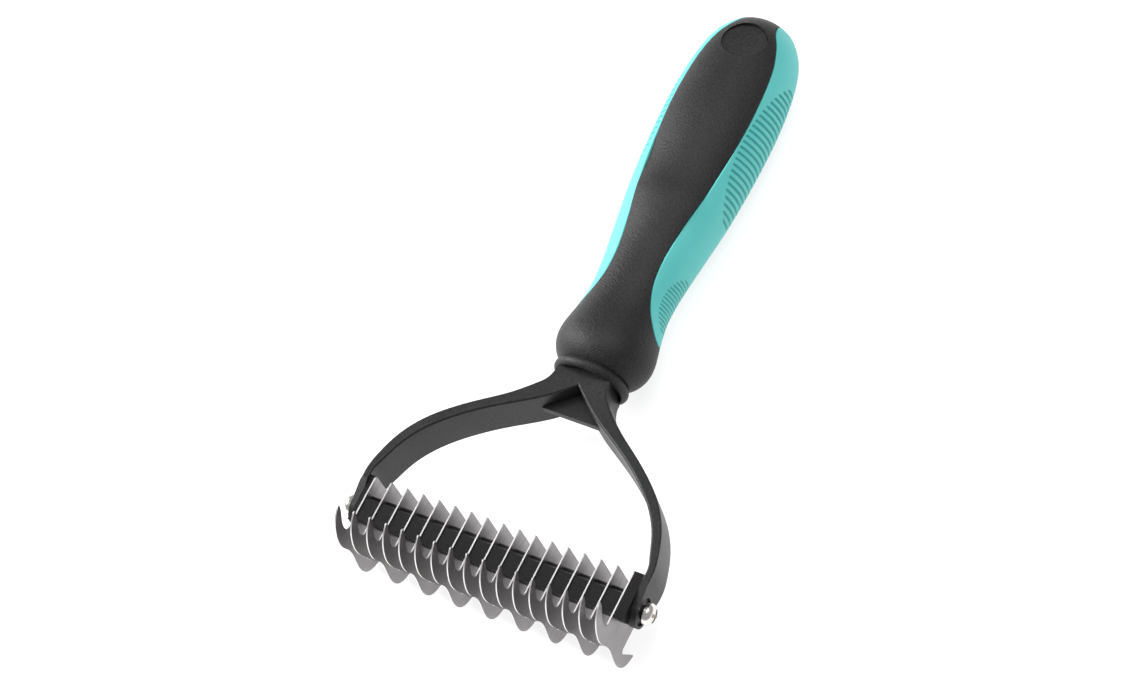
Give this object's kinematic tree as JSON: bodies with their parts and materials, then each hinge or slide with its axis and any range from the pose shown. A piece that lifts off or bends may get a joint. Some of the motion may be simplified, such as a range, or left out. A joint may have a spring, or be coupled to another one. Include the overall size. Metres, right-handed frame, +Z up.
{
  "type": "undercoat rake",
  "caption": "Double-sided undercoat rake with an oval two-material handle, a curved yoke and a comb of thin steel plates with short teeth in front and hooks behind.",
  "frame": {"origin": "centre of the tool's footprint, on the surface that it lies on", "axes": "+X along the comb from left to right, +Y along the tool towards the handle's end, +Z up, out of the side with the short teeth"},
  "size_m": [0.098, 0.1944, 0.041],
  "materials": {
    "black_handle": "fine-grained soft-touch black plastic",
    "grip_rubber": "satin turquoise thermoplastic rubber with grooved thumb pads",
    "black_disc": "smooth satin black inlay",
    "black_yoke": "moulded black plastic, lightly satin",
    "black_comb": "plain black plastic",
    "blade_steel": "ground stainless sheet with bright cut edges",
    "rod_steel": "plain drawn steel",
    "screw_steel": "bright nickel plate"
  },
  "bodies": {
    "root": {"blade_01": "blade_steel", "blade_02": "blade_steel", "blade_03": "blade_steel", "blade_04": "blade_steel", "blade_05": "blade_steel", "blade_06": "blade_steel", "blade_07": "blade_steel", "blade_08": "blade_steel", "blade_09": "blade_steel", "blade_10": "blade_steel", "blade_11": "blade_steel", "blade_12": "blade_steel", "blade_13": "blade_steel", "blade_14": "blade_steel", "blade_15": "blade_steel", "blade_16": "blade_steel", "blade_17": "blade_steel", "end_disc": "black_disc", "handle_core": "black_handle", "left_cheek": "black_comb", "left_grip": "grip_rubber", "left_screw": "screw_steel", "right_cheek": "black_comb", "right_grip": "grip_rubber", "right_screw": "screw_steel", "spacer_01": "black_comb", "spacer_02": "black_comb", "spacer_03": "black_comb", "spacer_04": "black_comb", "spacer_05": "black_comb", "spacer_06": "black_comb", "spacer_07": "black_comb", "spacer_08": "black_comb", "spacer_09": "black_comb", "spacer_10": "black_comb", "spacer_11": "black_comb", "spacer_12": "black_comb", "spacer_13": "black_comb", "spacer_14": "black_comb", "spacer_15": "black_comb", "spacer_16": "black_comb", "tie_rod": "rod_steel", "yoke": "black_yoke"}
  },
  "joints": []
}
